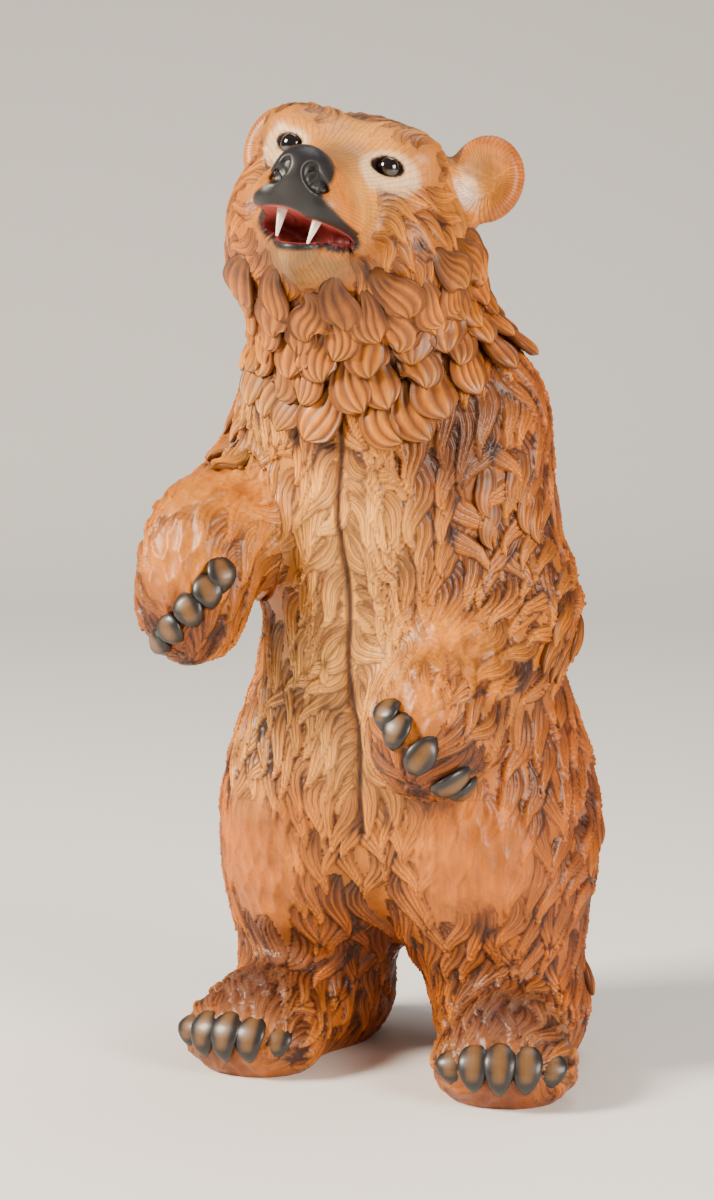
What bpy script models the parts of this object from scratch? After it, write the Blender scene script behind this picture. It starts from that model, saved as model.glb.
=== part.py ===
"""A standing bear carved from one block of limewood.

Run it with: blender --background --python part.py
The bear looks along -Y, its left side is at +X, and it stands on the plane Z = 0.
The figure is worked out in shares of its height and scaled once at the end.
"""

import math
from collections import namedtuple

import bmesh
import bpy
import numpy as np
from mathutils import Matrix, Vector

# Sizes in metres
HEIGHT = 0.300
RUFF_LOCK_LENGTH = 0.0200
RUFF_LOCK_WIDTH = 0.0118
RUFF_LOCK_THICKNESS = 0.0036
FUR_LOCK_LENGTH = 0.0260
FUR_LOCK_WIDTH = 0.0075
FUR_DEPTH = 0.0022
FOOT_CLAW_WIDTH = 0.0086
HAND_CLAW_WIDTH = 0.0080
FANG_LENGTH = 0.0068

# Mesh steps, as shares of the height, and the facets kept
CLAY_STEP = 0.0080
SKIN_STEP = 0.0055
CARVED_STEP = 0.0040
TRIANGLES = 9500

UPRIGHT = np.eye(3)
DOWN = np.array([0.0, 0.0, -1.0])

Lump = namedtuple("Lump", "shape start end radii axes soft comb")


def share(metres):
    """A length in metres as a share of the height."""
    return metres / HEIGHT


def point(*xyz):
    return np.array(xyz, float)


def turned(pitch=0.0, roll=0.0, yaw=0.0):
    """Axes as columns: pitch lifts the front, roll drops the left side, yaw turns to the left."""
    return np.array(
        Matrix.Rotation(math.radians(yaw), 3, "Z")
        @ Matrix.Rotation(math.radians(roll), 3, "Y")
        @ Matrix.Rotation(math.radians(-pitch), 3, "X")
    )


# The head has its own axes, tipped back and leaning over
HEAD = point(-0.024, -0.085, 0.884)
HEAD_TURN = turned(pitch=15, roll=12, yaw=5)


def on_head(*xyz):
    """A point in the head's own axes as a point of the body."""
    return HEAD + HEAD_TURN @ point(*xyz)


# The clay figure: lumps blended into each other, then hollows cut from them

# The mouth is three hollows, the outer two set higher for the corners of the smile
MOUTH = (
    (point(-0.005, -0.142, -0.052), point(0.036, 0.074, 0.0145)),
    (point(0.027, -0.130, -0.041), point(0.022, 0.050, 0.0080)),
    (point(-0.032, -0.128, -0.047), point(0.020, 0.050, 0.0100)),
)
TOES = {1: point(0.162, -0.132, 0.037), -1: point(-0.122, -0.132, 0.037)}
TOE_RADII = point(0.072, 0.052, 0.043)
ANKLE = {1: point(0.108, 0.015, 0.06), -1: point(-0.112, 0.015, 0.06)}


def toe_yaw(side):
    """How far a foot points outward, in degrees."""
    ahead = TOES[side] - ANKLE[side]
    return math.degrees(math.atan2(ahead[0], -ahead[1])) * 0.8


EYE = point(0.0515, -0.092, 0.0390)
EYE_RADIUS = 0.0140
EAR = {1: point(0.116, 0.022, 0.066), -1: point(-0.106, 0.022, 0.046)}
EAR_HOLLOW = point(0.005, -0.023, -0.002)


def clay_lumps():
    lumps = []

    def ball(centre, radii, soft=0.04, axes=UPRIGHT, comb=DOWN):
        lumps.append(Lump("ball", point(*centre), None, point(*radii), axes, soft, comb))

    def rod(start, end, radii, soft=0.04, comb=None):
        start, end = point(*start), point(*end)
        if comb is None:
            comb = (end - start) / np.linalg.norm(end - start)
        lumps.append(Lump("rod", start, end, radii, UPRIGHT, soft, comb))

    def head_ball(centre, radii, soft, comb, yaw=0.0):
        axes = HEAD_TURN @ turned(yaw=yaw)
        ball(on_head(*centre), radii, soft, axes, HEAD_TURN @ point(*comb))

    def head_rod(start, end, radii, soft, comb):
        rod(on_head(*start), on_head(*end), radii, soft, HEAD_TURN @ point(*comb))

    # Trunk
    ball((0, 0.03, 0.27), (0.173, 0.15, 0.15))
    ball((0, 0.0, 0.40), (0.155, 0.145, 0.17), 0.08)
    ball((0, -0.03, 0.59), (0.13, 0.125, 0.17), 0.08)
    rod((-0.075, -0.02, 0.68), (0.054, -0.02, 0.680), (0.08, 0.074), 0.06, DOWN)
    rod((-0.012, -0.035, 0.72), (-0.030, -0.072, 0.85), (0.106, 0.111), 0.06, DOWN)

    # Hind legs
    for side in (1, -1):
        toes = TOES[side]
        ankle = ANKLE[side]
        inner = 0.004 if side == 1 else 0.0
        ball((side * 0.097 - inner, -0.005, 0.24), (0.098, 0.125, 0.15), 0.05)
        rod((side * 0.102 - inner, 0.0, 0.20), ankle, (0.085, 0.079), 0.04, DOWN)
        sole_start = ankle + point(0.0, 0.025, -0.01)
        sole_end = toes + point(-side * 0.01, 0.03, 0.009)
        rod(sole_start, sole_end, (0.06, 0.06), 0.03)
        ball(toes, TOE_RADII, 0.03, turned(yaw=toe_yaw(side)), (ankle - toes) * -4)

    # Left arm: bent, the paw resting against the belly
    rod((0.070, -0.01, 0.665), (0.104, 0.0, 0.485), (0.073, 0.066), 0.05)
    rod((0.104, -0.01, 0.478), (0.096, -0.13, 0.405), (0.072, 0.062), 0.04)
    ball((0.090, -0.165, 0.370), (0.060, 0.050, 0.056), 0.04, comb=(-0.3, -0.6, -0.7))

    # Right arm: held out in front
    rod((-0.092, -0.02, 0.665), (-0.150, -0.01, 0.568), (0.075, 0.070), 0.05)
    rod((-0.150, -0.02, 0.568), (-0.152, -0.15, 0.560), (0.072, 0.064), 0.04)
    ball((-0.156, -0.188, 0.504), (0.058, 0.050, 0.069), 0.04, comb=(0.2, -0.5, -0.8))

    # Head, in its own axes
    back = (0.0, 0.9, 0.3)
    head_ball((0, 0.005, 0), (0.108, 0.108, 0.090), 0.05, back)
    for side in (1, -1):
        sideways = (side * 0.6, 0.7, -0.4)
        head_ball((side * 0.052, -0.058, 0.054), (0.044, 0.040, 0.032), 0.025, back)
        width = 0.066 if side == 1 else 0.058
        head_ball((side * width, -0.040, -0.034), (width - 0.015, 0.062, 0.054), 0.04, sideways)
        head_ball((side * 0.026, -0.142, -0.024), (0.027, 0.050, 0.020), 0.02, sideways)
        head_ball(EAR[side], (0.038, 0.018, 0.044), 0.014, back, side * 22)
    head_rod((0, -0.060, 0.000), (0, -0.155, -0.006), (0.060, 0.036), 0.03, back)
    head_ball((0, -0.186, -0.002), (0.032, 0.026, 0.028), 0.014, back)
    head_rod((0, -0.040, -0.060), (0, -0.134, -0.067), (0.052, 0.0195), 0.03, (0, 0.6, -0.8))
    return lumps


def clay_hollows():
    hollows = []

    def head_hollow(centre, radii, soft, yaw=0.0):
        axes = HEAD_TURN @ turned(yaw=yaw)
        hollows.append(Lump("ball", on_head(*centre), None, point(*radii), axes, soft, DOWN))

    for centre, radii in MOUTH:
        head_hollow(centre, radii, 0.006)
    for side in (1, -1):
        hollow = EAR[side] + EAR_HOLLOW * point(side, 1, 1)
        head_hollow(hollow, (0.028, 0.020, 0.032), 0.012, side * 22)
        head_hollow((side * 0.016, -0.210, -0.006), (0.008, 0.012, 0.009), 0.005)
        head_hollow((side * EYE[0], EYE[1] - 0.015, EYE[2]), (0.026, 0.021, 0.019), 0.009, side * 12)
    return hollows


def distance_to(lump, places):
    """Signed distance from each place to one lump, negative inside it."""
    if lump.shape == "ball":
        local = (places - lump.start) @ lump.axes
        near = np.linalg.norm(local / lump.radii, axis=1)
        steep = np.linalg.norm(local / np.square(lump.radii), axis=1)
        return near * (near - 1) / np.maximum(steep, 1e-9)
    along = lump.end - lump.start
    part = np.clip(((places - lump.start) @ along) / along.dot(along), 0, 1)
    gap = places - lump.start - part[:, None] * along
    return np.linalg.norm(gap, axis=1) - (lump.radii[0] + part * (lump.radii[1] - lump.radii[0]))


def blend(first, second, soft):
    """Union of two distance fields with a fillet of the given width."""
    near = np.maximum(soft - np.abs(first - second), 0) / soft
    return np.minimum(first, second) - near * near * soft / 4


def figure(places):
    """Signed distance from the finished clay form."""
    lumps = LUMPS
    field = distance_to(lumps[0], places)
    for lump in lumps[1:]:
        field = blend(field, distance_to(lump, places), lump.soft)
    for hollow in HOLLOWS:
        field = -blend(-field, distance_to(hollow, places), hollow.soft)
    return -blend(-field, places[:, 2], 0.004)


LUMPS = clay_lumps()
HOLLOWS = clay_hollows()


def slope(places, step=0.0008):
    """Gradient of the clay form at each place."""
    out = np.empty_like(places)
    for axis in range(3):
        ahead, behind = places.copy(), places.copy()
        ahead[:, axis] += step
        behind[:, axis] -= step
        out[:, axis] = (figure(ahead) - figure(behind)) / (2 * step)
    return out


def settled(places, times=3):
    """Places moved onto the surface of the clay form."""
    for _ in range(times):
        gradient = slope(places)
        steep = np.maximum((gradient**2).sum(1), 0.05)
        step = np.clip(figure(places) / steep, -0.01, 0.01)
        places = places - step[:, None] * gradient
    return places


# Mesh helpers

def places_of(mesh):
    flat = np.empty(len(mesh.vertices) * 3, np.float32)
    mesh.vertices.foreach_get("co", flat)
    return flat.reshape(-1, 3).astype(float)


def move_to(mesh, places):
    mesh.vertices.foreach_set("co", places.astype(np.float32).ravel())
    mesh.update()


def modified(mesh, name, kind, **settings):
    """The mesh after one modifier."""
    holder = bpy.data.objects.new(name, mesh)
    bpy.context.scene.collection.objects.link(holder)
    modifier = holder.modifiers.new(name, kind)
    for key, value in settings.items():
        setattr(modifier, key, value)
    graph = bpy.context.evaluated_depsgraph_get()
    out = bpy.data.meshes.new_from_object(holder.evaluated_get(graph))
    bpy.data.objects.remove(holder)
    return out


def clay_mesh():
    """The lumps as balls, welded into one skin and settled onto the blended form."""
    shaper = bmesh.new()
    bmesh.ops.create_uvsphere(shaper, u_segments=24, v_segments=16, radius=1)
    unit = bpy.data.meshes.new("unit ball")
    shaper.to_mesh(unit)
    shaper.clear()

    def add_ball(centre, radii, axes):
        placed = unit.copy()
        turn = Matrix(axes.tolist()).to_4x4()
        placed.transform(Matrix.Translation(Vector(centre)) @ turn @ Matrix.Diagonal((*radii, 1)))
        shaper.from_mesh(placed)
        bpy.data.meshes.remove(placed)

    for lump in LUMPS:
        if lump.shape == "ball":
            add_ball(lump.start, lump.radii, lump.axes)
            continue
        for part in np.linspace(0, 1, 7):
            radius = lump.radii[0] + part * (lump.radii[1] - lump.radii[0])
            add_ball(lump.start + part * (lump.end - lump.start), (radius,) * 3, UPRIGHT)
    mesh = bpy.data.meshes.new("clay")
    shaper.to_mesh(mesh)
    shaper.free()
    mesh = modified(mesh, "weld", "REMESH", mode="VOXEL", voxel_size=CLAY_STEP)

    # The mouth is cut out before the skin is made finer, so that the skin follows its walls
    turn = Matrix(HEAD_TURN.tolist()).to_4x4()
    for centre, radii in MOUTH:
        hollow = unit.copy()
        size = Matrix.Diagonal((*(radii * 0.94), 1))
        hollow.transform(Matrix.Translation(Vector(on_head(*centre))) @ turn @ size)
        cutter = bpy.data.objects.new("mouth", hollow)
        bpy.context.scene.collection.objects.link(cutter)
        mesh = modified(mesh, "cut", "BOOLEAN", operation="DIFFERENCE", solver="EXACT", object=cutter)
        bpy.data.objects.remove(cutter)
    mesh = modified(mesh, "refine", "REMESH", mode="VOXEL", voxel_size=SKIN_STEP)
    move_to(mesh, settled(places_of(mesh), 4))
    return mesh


# Fur: locks follow the comb of the nearest lumps, with a sway to and fro

def comb_at(places, normals):
    """The way the hair lies at each place, along the surface."""
    total = np.zeros_like(places)
    for lump in LUMPS:
        weight = np.exp(-np.maximum(distance_to(lump, places), 0) / 0.02)
        total += weight[:, None] * lump.comb
    # On chest and belly the locks run down and outward from the parting
    middle = np.exp(-np.square(places[:, 0] / 0.10)) * (places[:, 1] < -0.05)
    middle *= np.clip((0.74 - places[:, 2]) / 0.05, 0, 1) * np.clip((places[:, 2] - 0.26) / 0.05, 0, 1)
    total[:, 0] += 1.2 * middle * np.tanh((places[:, 0] - parting_at(places[:, 2])) / 0.01)
    total -= (total * normals).sum(1)[:, None] * normals
    return total / np.maximum(np.linalg.norm(total, axis=1), 1e-6)[:, None]


def normals_at(places):
    gradient = slope(places)
    return gradient / np.maximum(np.linalg.norm(gradient, axis=1), 1e-6)[:, None]


def combed_paths(roots, length, sway, steps=6):
    """Paths along the surface from each root, with the surface normal at each stop."""
    stops, normals = [roots], [normals_at(roots)]
    for step in range(steps):
        place, normal = stops[-1], normals[-1]
        ahead = comb_at(place, normal)
        swing = sway * math.cos(2 * math.pi * (step + 0.5) / steps)
        ahead = ahead * math.cos(swing) + np.cross(normal, ahead) * math.sin(swing)
        stops.append(settled(place + ahead * length / steps, 1))
        normals.append(normals_at(stops[-1]))
    return np.stack(stops, 1), np.stack(normals, 1)


def spread_roots(places, pitch, chance):
    """Places picked so that no two are nearer than the pitch."""
    order = chance.permutation(len(places))[:9000]
    kept = np.empty((len(order), 3))
    count = 0
    for place in places[order]:
        gaps = np.square(kept[:count] - place).sum(1)
        if count == 0 or gaps.min() > pitch * pitch:
            kept[count] = place
            count += 1
    return kept[:count]


def furred(places):
    """Places moved out and in to carve the main locks."""
    chance = np.random.default_rng(7)
    length, half_width = share(FUR_LOCK_LENGTH), share(FUR_LOCK_WIDTH) / 2
    coat = (places[:, 2] > 0.03) & (places[:, 2] < 0.80)
    roots = spread_roots(places[coat], half_width * 2.1, chance)
    stops, _ = combed_paths(roots, length, 0.6)
    relief = np.zeros(len(places))
    parts = np.linspace(0, 1, stops.shape[1])
    for path in stops:
        middle = path[len(path) // 2]
        near = np.flatnonzero(np.square(places - middle).sum(1) < (0.62 * length) ** 2)
        gaps = np.linalg.norm(places[near, None, :] - path[None], axis=2)
        best = np.argmin(gaps, axis=1)
        along = parts[best]
        width = half_width * np.sqrt(np.clip(4 * along * (1.02 - along), 0.02, 1))
        rise = np.clip(1 - np.square(gaps[np.arange(len(near)), best] / width), 0, 1)
        rise *= 0.35 + 0.65 * along
        relief[near] = np.maximum(relief[near], rise)
    head = np.clip((places[:, 2] - 0.74) / 0.06, 0, 1)
    sole = np.clip(places[:, 2] / 0.05, 0, 1)
    smooth = 1 - 0.6 * smooth_zone(places)
    depth = share(FUR_DEPTH) * (1 - head) * sole * smooth
    parting = np.exp(-np.square((places[:, 0] - parting_at(places[:, 2])) / 0.010))
    parting *= (places[:, 1] < -0.08) & (places[:, 2] > 0.2) & (places[:, 2] < 0.74)
    moves = depth * (relief - 0.5) - 0.006 * parting
    return places + normals_at(places) * moves[:, None]


def parting_at(height):
    """How far to the side the parting of the chest lies at a height."""
    fall = np.clip((0.72 - height) / 0.45, 0, 1)
    return -0.016 + 0.024 * fall + 0.003 * np.sin(40 * height)


def smooth_zone(places):
    """One on the forearms, knees and paws, where the chisel left broad facets."""
    zone = np.zeros(len(places))
    for centre, size in (
        ((-0.150, -0.150, 0.570), 0.07),
        ((0.100, -0.100, 0.450), 0.06),
        ((0.120, -0.110, 0.230), 0.07),
        ((-0.120, -0.110, 0.230), 0.07),
    ):
        away = np.linalg.norm(places - point(*centre), axis=1)
        zone = np.maximum(zone, np.clip(1.5 - away / size, 0, 1))
    return zone


# Raised pieces: leaves of the ruff, claws and fangs, all drawn as closed leaves on a path

def leaf(shaper, path, normals, half_width, half_depth, lift, fullness):
    """A closed leaf along a path; fullness gives its width at each stop, as a share."""
    sides = 8
    rings = []
    for stop, (place, normal) in enumerate(zip(path, normals)):
        ahead = path[min(stop + 1, len(path) - 1)] - path[max(stop - 1, 0)]
        across = np.cross(ahead, normal)
        across /= max(np.linalg.norm(across), 1e-9)
        centre = place + normal * lift[stop]
        if fullness[stop] == 0:
            rings.append([shaper.verts.new(centre)])
            continue
        ring = []
        for side in range(sides):
            angle = 2 * math.pi * side / sides
            out = across * math.cos(angle) * half_width * fullness[stop]
            up = normal * math.sin(angle) * half_depth * min(1.0, 0.4 + fullness[stop])
            ring.append(shaper.verts.new(centre + out + up))
        rings.append(ring)
    for first, second in zip(rings, rings[1:]):
        for side in range(sides):
            after = (side + 1) % sides
            corners = [first[side % len(first)], first[after % len(first)],
                       second[after % len(second)], second[side % len(second)]]
            shaper.faces.new(list(dict.fromkeys(corners)))


def ruff(shaper):
    """Rows of leaves laid round the neck like shingles, tips standing off."""
    chance = np.random.default_rng(11)
    rows, count = 6, 19
    for row in range(rows):
        angles = 2 * math.pi * (np.arange(count) + 0.5 * (row % 2)) / count
        angles += chance.normal(0, 0.03, count)
        # The ruff hangs lower on the throat than at the sides and the nape
        rise = np.minimum(1, 1 - np.cos(angles))
        level = 0.716 + 0.082 * rise + (0.122 - 0.036 * rise) * row / (rows - 1)
        level += chance.normal(0, 0.003, count)
        roots = np.stack([-0.020 + 0.14 * np.sin(angles), -0.060 - 0.14 * np.cos(angles), level], 1)
        paths, normals = combed_paths(settled(roots, 5), share(RUFF_LOCK_LENGTH), 0.25 * (-1) ** row, 5)
        for path, normal in zip(paths, normals):
            size = chance.uniform(0.85, 1.15)
            stand = 0.010 + 0.004 * chance.random()
            lift = (-0.004, 0.000, 0.003, 0.6 * stand, 0.85 * stand, stand)
            leaf(shaper, path, normal, share(RUFF_LOCK_WIDTH) / 2 * size,
                 share(RUFF_LOCK_THICKNESS) / 2, lift, (0, 0.75, 0.95, 1, 0.72, 0))


def tufts(shaper):
    """Longer locks that stand clear of the outline at elbows, hips and heels."""
    chance = np.random.default_rng(5)
    for centre, spread, count in TUFTS:
        roots = point(*centre) + chance.normal(0, 1, (count, 3)) * spread
        paths, normals = combed_paths(settled(roots, 6), 0.062, 0.5, 5)
        for path, normal in zip(paths, normals):
            stand = chance.uniform(0.001, 0.006)
            lift = (-0.006, -0.003, -0.001, 0.4 * stand, 0.8 * stand, stand)
            leaf(shaper, path, normal, 0.012, 0.006, lift, (0, 0.8, 1, 0.85, 0.5, 0))


# Where the tufts grow: centre, spread and count
TUFTS = (
    ((0.175, 0.000, 0.480), 0.020, 8),
    ((-0.225, 0.020, 0.530), 0.018, 5),
    ((0.185, 0.030, 0.270), 0.020, 4),
    ((-0.185, 0.030, 0.270), 0.020, 4),
    ((0.165, 0.050, 0.130), 0.015, 3),
    ((-0.165, 0.050, 0.130), 0.015, 3),
    ((0.130, -0.060, 0.640), 0.030, 6),
    ((-0.140, -0.060, 0.650), 0.025, 5),
)


def claws(shaper):
    """Five claws on each foot, curved over the toes, and five on each hand."""
    for side in (1, -1):
        axes = turned(yaw=toe_yaw(side))
        for finger in range(-2, 3):
            across = finger * 0.0275
            reach = math.sqrt(1 - (across / TOE_RADII[0]) ** 2)
            path, normals = [], []
            for angle in np.radians(np.linspace(62, -24, 6)):
                flat = point(across * (1 - 0.05 * abs(finger)), -TOE_RADII[1] * reach * math.cos(angle),
                             TOE_RADII[2] * reach * math.sin(angle))
                path.append(TOES[side] + axes @ flat)
                normals.append(axes @ point(across * 4, -math.cos(angle), math.sin(angle)))
            normals = [normal / np.linalg.norm(normal) for normal in normals]
            lift = (-0.004, 0.005, 0.010, 0.011, 0.008, 0.003)
            leaf(shaper, path, normals, share(FOOT_CLAW_WIDTH) / 2, 0.011, lift, (0, 0.8, 1, 0.95, 0.7, 0))
    for roots, tips in HAND_CLAWS:
        for part in np.linspace(0, 1, 5):
            root = roots[0] + part * (roots[1] - roots[0])
            tip = tips[0] + part * (tips[1] - tips[0])
            path = settled(root + np.linspace(0, 1, 6)[:, None] * (tip - root), 5)
            lift = (-0.004, 0.005, 0.010, 0.012, 0.009, 0.003)
            leaf(shaper, path, normals_at(path), share(HAND_CLAW_WIDTH) / 2, 0.011, lift,
                 (0, 0.8, 1, 0.95, 0.7, 0))


# First and last claw of each hand, from root to tip
HAND_CLAWS = (
    ((point(0.069, -0.205, 0.425), point(0.148, -0.160, 0.338)),
     (point(0.062, -0.216, 0.385), point(0.120, -0.190, 0.318))),
    ((point(-0.113, -0.218, 0.553), point(-0.182, -0.225, 0.475)),
     (point(-0.104, -0.220, 0.512), point(-0.160, -0.225, 0.452))),
)


def fangs(shaper):
    """Two upper fangs at the front of the mouth."""
    for side in (1, -1):
        root = on_head(side * 0.019, -0.160, -0.030)
        tip = on_head(side * 0.016, -0.163, -0.038 - share(FANG_LENGTH))
        path = [root + part * (tip - root) for part in (0, 0.1, 0.5, 0.85, 1)]
        normals = [HEAD_TURN @ point(0, -1, 0)] * 5
        leaf(shaper, path, normals, 0.0055, 0.0055, (0,) * 5, (0, 1, 0.85, 0.45, 0))


def eyes(shaper):
    """Eyeballs set in their sockets."""
    for side in (1, -1):
        place = Matrix.Translation(Vector(on_head(side * EYE[0], EYE[1], EYE[2])))
        bmesh.ops.create_uvsphere(shaper, u_segments=16, v_segments=12, radius=EYE_RADIUS, matrix=place)


def soled(mesh, level):
    """The mesh cut flat at a level, with the cut closed."""
    shaper = bmesh.new()
    shaper.from_mesh(mesh)
    everything = shaper.verts[:] + shaper.edges[:] + shaper.faces[:]
    cut = bmesh.ops.bisect_plane(shaper, geom=everything, plane_co=(0, 0, level),
                                 plane_no=(0, 0, 1), clear_inner=True)
    rim = [item for item in cut["geom_cut"] if isinstance(item, bmesh.types.BMEdge)]
    bmesh.ops.triangle_fill(shaper, edges=rim, use_beauty=True, use_dissolve=False)
    bmesh.ops.recalc_face_normals(shaper, faces=shaper.faces)
    bmesh.ops.translate(shaper, verts=shaper.verts, vec=(0, 0, -level))
    shaper.to_mesh(mesh)
    shaper.free()
    return mesh


def main():
    for thing in list(bpy.data.objects):
        bpy.data.objects.remove(thing)
    mesh = clay_mesh()
    move_to(mesh, furred(places_of(mesh)))
    shaper = bmesh.new()
    shaper.from_mesh(mesh)
    ruff(shaper)
    tufts(shaper)
    claws(shaper)
    fangs(shaper)
    eyes(shaper)
    bmesh.ops.recalc_face_normals(shaper, faces=shaper.faces)
    shaper.to_mesh(mesh)
    shaper.free()
    mesh = modified(mesh, "join", "REMESH", mode="VOXEL", voxel_size=CARVED_STEP)
    mesh = soled(mesh, 0.003)
    mesh = modified(mesh, "triangles", "TRIANGULATE")
    mesh = modified(mesh, "facets", "DECIMATE", ratio=TRIANGLES / len(mesh.polygons))

    # Scaled to its height, with the origin under the middle of its box
    places = places_of(mesh)
    low, high = places.min(0), places.max(0)
    places -= point((low[0] + high[0]) / 2, (low[1] + high[1]) / 2, low[2])
    move_to(mesh, places * HEIGHT / (high[2] - low[2]))
    mesh.name = "bear"
    bear = bpy.data.objects.new("bear", mesh)
    bpy.context.scene.collection.objects.link(bear)


if __name__ == "__main__":
    main()
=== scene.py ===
"""The looks of a standing bear carved from limewood, stained, painted on the face and lacquered.

The form is worked out in shares of the bear's height, as its solids are, and scaled once at the end.
"""

import math
from collections import namedtuple

import bmesh
import bpy
import numpy as np
from mathutils import Matrix, Vector


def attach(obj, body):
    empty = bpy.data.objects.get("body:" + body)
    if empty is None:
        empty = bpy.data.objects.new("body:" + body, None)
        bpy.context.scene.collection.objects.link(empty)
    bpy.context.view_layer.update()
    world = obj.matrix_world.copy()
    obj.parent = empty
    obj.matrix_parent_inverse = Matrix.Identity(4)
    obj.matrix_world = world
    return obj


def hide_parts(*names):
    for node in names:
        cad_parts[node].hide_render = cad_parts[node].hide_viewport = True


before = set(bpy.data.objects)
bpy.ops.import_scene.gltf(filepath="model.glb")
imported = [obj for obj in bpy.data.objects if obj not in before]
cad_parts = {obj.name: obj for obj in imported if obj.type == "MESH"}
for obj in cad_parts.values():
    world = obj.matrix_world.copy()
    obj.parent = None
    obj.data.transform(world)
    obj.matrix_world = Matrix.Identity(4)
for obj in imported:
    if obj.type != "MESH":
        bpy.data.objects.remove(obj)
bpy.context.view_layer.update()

# Sizes in metres
RUFF_LOCK_LENGTH = 0.0200
RUFF_LOCK_WIDTH = 0.0118
RUFF_LOCK_THICKNESS = 0.0036
FOOT_CLAW_WIDTH = 0.0090
HAND_CLAW_WIDTH = 0.0080
FANG_LENGTH = 0.0068
STRAND_WIDTH = 0.0022

# From shares of the height to metres: the point that lies over the origin, and the scale
CENTRE = np.array([0.00202, -0.05403, 0.003])
SCALE = 0.30282

# Mesh steps as shares; each skin is divided once more
CLAY_STEP = 0.0080
BODY_STEP = 0.0043
HEAD_STEP = 0.0035
# How far a lump is felt beyond its own size, and the step that slopes are measured over
FEEL = 0.13
PROBE = 0.0008
# The locks' roots: how many places are tried, and how much farther apart they lie along the hair
ROOT_TRIES = 24000
ROOT_STRETCH = 2.7
ROOT_CELL = 0.05

UPRIGHT = np.eye(3)
DOWN = np.array([0.0, 0.0, -1.0])

Lump = namedtuple("Lump", "shape start end radii axes soft comb")


def share(metres):
    """A length in metres as a share of the height."""
    return metres / SCALE


def point(*xyz):
    return np.array(xyz, float)


def clamp(values):
    """Values held between nothing and one."""
    return np.clip(values, 0, 1)


def lengths(rows):
    return np.linalg.norm(rows, axis=1)


def unit_rows(rows, least=1e-6):
    """Each row scaled to a length of one."""
    return rows / np.maximum(lengths(rows), least)[:, None]


def turned(pitch=0.0, roll=0.0, yaw=0.0):
    """Axes as columns: pitch lifts the front, roll drops the left side, yaw turns to the left."""
    return np.array(
        Matrix.Rotation(math.radians(yaw), 3, "Z")
        @ Matrix.Rotation(math.radians(roll), 3, "Y")
        @ Matrix.Rotation(math.radians(-pitch), 3, "X")
    )


# The head has its own axes, tipped back and leaning over
HEAD = point(-0.024, -0.085, 0.884)
HEAD_TURN = turned(pitch=15, roll=12, yaw=5)


def on_head(*xyz):
    """A point in the head's own axes as a point of the body."""
    return HEAD + HEAD_TURN @ point(*xyz)


# The clay figure: lumps blended into each other, then hollows cut from them

# The mouth is three hollows, the outer two set higher for the corners of the smile
MOUTH = (
    (point(-0.010, -0.142, -0.047), point(0.031, 0.074, 0.0145)),
    (point(0.021, -0.132, -0.043), point(0.023, 0.052, 0.0068)),
    (point(-0.032, -0.128, -0.043), point(0.020, 0.050, 0.0100)),
)
TOES = {1: point(0.162, -0.132, 0.037), -1: point(-0.122, -0.132, 0.037)}
TOE_RADII = point(0.072, 0.052, 0.043)
ANKLE = {1: point(0.108, 0.015, 0.06), -1: point(-0.112, 0.015, 0.06)}


def toe_yaw(side):
    """How far a foot points outward, in degrees."""
    ahead = TOES[side] - ANKLE[side]
    return math.degrees(math.atan2(ahead[0], -ahead[1])) * 0.8


EYE = point(0.0510, -0.0905, 0.0390)
EYE_RADIUS = 0.0122
EAR = {1: point(0.116, 0.022, 0.066), -1: point(-0.106, 0.022, 0.046)}
EAR_HOLLOW = point(0.005, -0.023, -0.002)


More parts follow.
